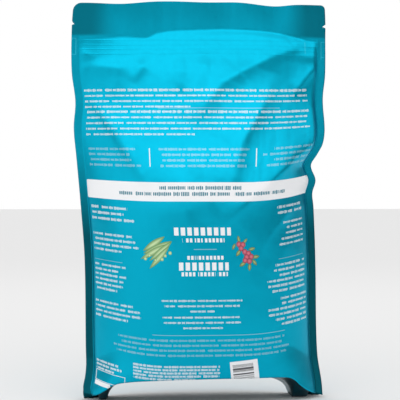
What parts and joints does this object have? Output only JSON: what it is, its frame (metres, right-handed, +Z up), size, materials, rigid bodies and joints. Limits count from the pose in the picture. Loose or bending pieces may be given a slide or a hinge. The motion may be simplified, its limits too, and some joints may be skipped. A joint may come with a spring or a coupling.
{
  "type": "stand-up pouch of dry pet food",
  "caption": "Sealed, filled stand-up pouch of laminated film with a folded bottom gusset, welded sides, a flat header with tear notches, and an inner press-to-close strip.",
  "frame": {"origin": "on the floor under the middle of the pouch's overall box", "axes": "+Z up towards the sealed header, +X along the pouch's width, -Y out of the printed wall that the picture shows"},
  "size_m": [0.2948, 0.109, 0.4562],
  "materials": {
    "film": "metallised laminate with a soft sheen, printed teal"
  },
  "bodies": {
    "root": {"pouch": "film"}
  },
  "joints": []
}
